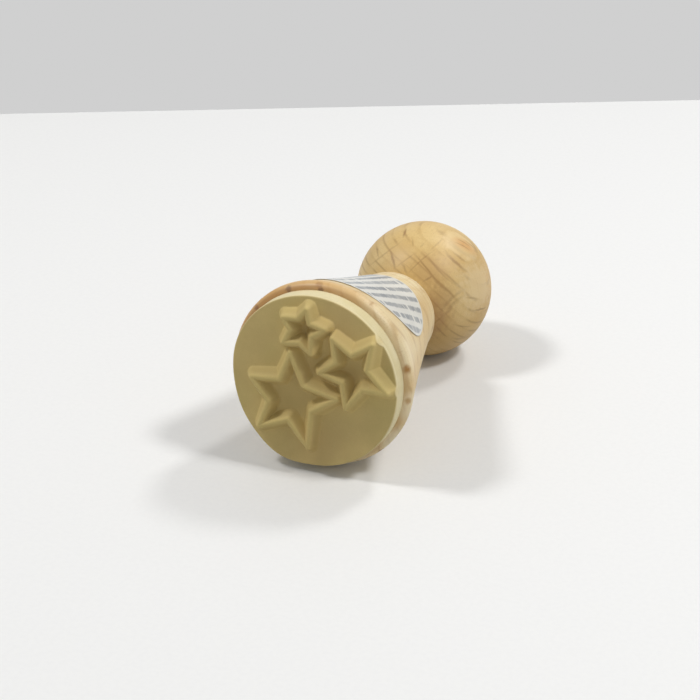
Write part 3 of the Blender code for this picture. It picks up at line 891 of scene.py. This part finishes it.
# Two stacked discs of rings (r, a) on the cone, joined round the edge, which curls up a little.
def labelPiece():
    reach = np.linspace(0, 1, label["rings"] + 1)[1:] ** 0.9 * label["radius"]
    angles = np.linspace(0, math.tau, label["turns"], endpoint=False)
    across, angle = np.meshgrid(reach, angles, indexing="ij")
    x, y = across * np.cos(angle), across * np.sin(angle)
    near = smoothStep(0.80, 1.0, across / label["radius"])
    loose = waves(41, 4, 1.0, 2.5, np.cos(angle), np.sin(angle))
    curl = label["curl"] * near * smoothStep(0.1, 1.0, loose)
    ripple = label["wrinkle"] * np.clip(waves(43, 5, 150, 450, x, y), 0, 1) * (0.3 + near)
    low = label["lift"] + curl + ripple
    sides = []
    for lift in (low + label["thickness"], low):
        rings = onCone(across, angle, lift)
        middle = onCone(np.zeros(1), np.zeros(1), np.full(1, lift[0].mean()))
        sides.append((rings.reshape(-1, 3), middle))
    count, turns = len(reach), label["turns"]
    size = count * turns
    points = np.concatenate([sides[0][0], sides[1][0], sides[0][1], sides[1][1]])
    ring = np.arange(turns)
    rim = np.stack([(count - 1) * turns + ring, size + (count - 1) * turns + ring])
    rimQuads = np.stack([rim[0], np.roll(rim[0], -1), np.roll(rim[1], -1), rim[1]], axis=-1)
    quads = np.concatenate([skinFaces(count, turns), rimQuads, skinFaces(count, turns, size)[:, ::-1]])
    fans = np.concatenate([fanFaces(ring, 2 * size, True), fanFaces(size + ring, 2 * size + 1, False)])
    flat = np.stack([x, y, np.zeros_like(x)], axis=-1).reshape(-1, 3)
    sheet = np.concatenate([flat, flat, np.zeros((2, 3))])
    return meshPiece("round_label", place(points), [quads, fans], {"sheet": sheet})


# Cool white paper with plain ruled bars, uneven and slightly washed out.
def labelFinish():
    paper = Finish("label_paper")
    sheet = paper.attribute("sheet", "Vector")
    x, y, _ = paper.split(sheet)
    turn = math.radians(label["rowTurn"])
    along = x * math.cos(turn) + y * math.sin(turn)
    down = y * math.cos(turn) - x * math.sin(turn)
    row = (down + label["rowOffset"]) / label["rowSpacing"]
    ragged = (paper.noise(sheet, 900, 2) - 0.5) * 0.30
    inRow = paper.math("ABSOLUTE", paper.math("FRACT", row) - 0.5) + ragged
    rowNumber = paper.math("FLOOR", row)
    perRow = paper.node("TexWhiteNoise", {"noise_dimensions": "1D"}, {"W": rowNumber})
    rowMix = Value(paper, perRow.outputs[0])
    bar = (label["barHalf"] + rowMix * label["barSpread"] - inRow).step(-0.05, 0.10)
    pieces = paper.noise(paper.join(along, rowNumber * 3.7, 0.0), 330, 1).step(0.34, 0.46)
    fade = paper.noise(sheet, 170, 2).step(0.25, 0.75)
    reach = paper.vector("LENGTH", sheet)
    inside = reach.step(label["radius"] * 0.98, label["radius"] * 0.94)
    fibres = paper.noise(sheet, 1800, 3, 0.6)
    cloud = paper.noise(sheet, 60, 2)
    colour = paper.blend(cloud.step(0.35, 0.65), label["paper"], label["shade"])
    ink = paper.blend(rowMix, label["ink"], label["faint"])
    printed = bar * pieces * inside * (label["barTone"] + fade * label["barFade"])
    colour = paper.blend(printed, colour, ink)
    colour = paper.blend(fibres.step(0.45, 0.75) * 0.10, colour, label["fibre"])
    normal = paper.bump(fibres, 0.02 * mm, 0.5)
    return paper.surface(
        Base_Color=colour, Roughness=0.42, Normal=normal, Coat_Weight=0.15, Coat_Roughness=0.3
    )


roundLabel = labelPiece()
roundLabel.data.materials.append(labelFinish())
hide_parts("paper_label")
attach(roundLabel, "root")
print("label:", len(roundLabel.data.polygons), "faces")


# Table, light and camera

studio = dict(
    tableColour=(0.86, 0.86, 0.85), tableBounce=(0.50, 0.50, 0.49), tableSpeck=(0.60, 0.60, 0.62),
    tableFront=1.6, tableSide=1.8,
    backdrop=(0.63, 0.63, 0.63), lampDistance=1.2, lampSize=0.20,
    sky=((0.62, 0.56), (0.36, 0.54), (0.30, 0.10)),      # left and right, front and back, under and over
    lamps=dict(                    # sideways shift of a shadow for each unit of height, and watts
        left=dict(shift=(0.655, 0.24), power=4.6),
        back=dict(shift=(-0.31, -0.70), power=3.35),
        right=dict(shift=(-0.68, -0.02), power=5.35),
    ),
)
view = dict(
    place=(0.20287, -0.49968, 0.27482), tilt=64.251, turn=23.124, lens=102.857,
    edgeLeft=(0.0, 114.0), edgeRight=(650.0, 101.0),       # two pixels of the table's far edge
    frameSize=700.0,
)


def cameraAt():
    camera = bpy.data.objects.new("camera", bpy.data.cameras.new("camera"))
    bpy.context.scene.collection.objects.link(camera)
    camera.location = view["place"]
    camera.rotation_euler = (math.radians(view["tilt"]), 0.0, math.radians(view["turn"]))
    camera.data.lens = view["lens"]
    camera.data.clip_start = 0.01
    bpy.context.scene.camera = camera
    return camera


# Where the line of sight through a picture pixel meets the table, z = 0.
def onTable(camera, pixel):
    half = view["frameSize"] / 2
    slope = camera.data.sensor_width / camera.data.lens / view["frameSize"]
    ray = Vector(((pixel[0] - half) * slope, (half - pixel[1]) * slope, -1.0))
    ray.rotate(camera.rotation_euler)
    return camera.location - ray * (camera.location.z / ray.z)


# A flat table whose far edge runs through two picture pixels, and which reaches to the front.
def tablePiece(camera):
    left, right = (onTable(camera, view[key]) for key in ("edgeLeft", "edgeRight"))
    along = (right - left).normalized()
    corners = [left - along * studio["tableSide"], right + along * studio["tableSide"]]
    front = Vector((along.y, -along.x, 0.0)) * studio["tableFront"]
    points = np.array([corners[0], corners[1], corners[1] + front, corners[0] + front])
    mesh = bpy.data.meshes.new("table")
    mesh.from_pydata([vectorOf(p) for p in points], [], [(3, 2, 1, 0)])
    table = bpy.data.objects.new("table", mesh)
    bpy.context.scene.collection.objects.link(table)
    white = Finish("table_white")
    position = white.position()
    speck = white.noise(position, 700, 3)
    colour = white.blend(white.seen(), studio["tableBounce"], studio["tableColour"])
    colour = white.blend(speck.step(0.35, 0.7) * 0.05, colour, studio["tableSpeck"])
    table.data.materials.append(white.surface(Base_Color=colour, Roughness=0.6, Specular_IOR_Level=0.2))


# A round soft box aimed at the stamp, placed against the way that its shadows fall.
def lamp(name, shift, power):
    light = bpy.data.lights.new(name, "AREA")
    light.shape = "DISK"
    light.size = studio["lampSize"]
    light.energy = power
    holder = bpy.data.objects.new(name, light)
    holder.location = Vector((-shift[0], -shift[1], 1.0)).normalized() * studio["lampDistance"]
    holder.rotation_euler = (-holder.location).to_track_quat("-Z", "Y").to_euler()
    bpy.context.scene.collection.objects.link(holder)


# Soft sky of strength x^2 side + y^2 side + z^2 side, where each of its six sides has a value of its
# own, and a plain grey backdrop where the camera sees it, directly or in a reflection.
def worldLight():
    world = bpy.data.worlds.new("studio")
    bpy.context.scene.world = world
    sky = Finish(world)
    strength = 0.0
    for axis, (low, high) in zip(sky.split(sky.position("Generated")), studio["sky"]):
        strength = axis * axis * (axis.math("GREATER_THAN", 0.0) * (high - low) + low) + strength
    light = sky.node("Background", {}, {"Color": sky.join(strength, strength, strength)})
    plain = sky.node("Background", {}, {"Color": (*studio["backdrop"], 1.0)})
    mix = sky.node("MixShader", {}, {0: sky.seen()})
    for socket, shader in ((1, light), (2, plain)):
        sky.tree.links.new(shader.outputs[0], mix.inputs[socket])
    sky.node("OutputWorld", {}, {"Surface": Value(sky, mix.outputs[0])})


camera = cameraAt()
tablePiece(camera)
worldLight()
for side, settings in studio["lamps"].items():
    lamp(side + "_lamp", **settings)
bpy.context.scene.view_settings.view_transform = "Standard"
print("table, lamps and camera set")
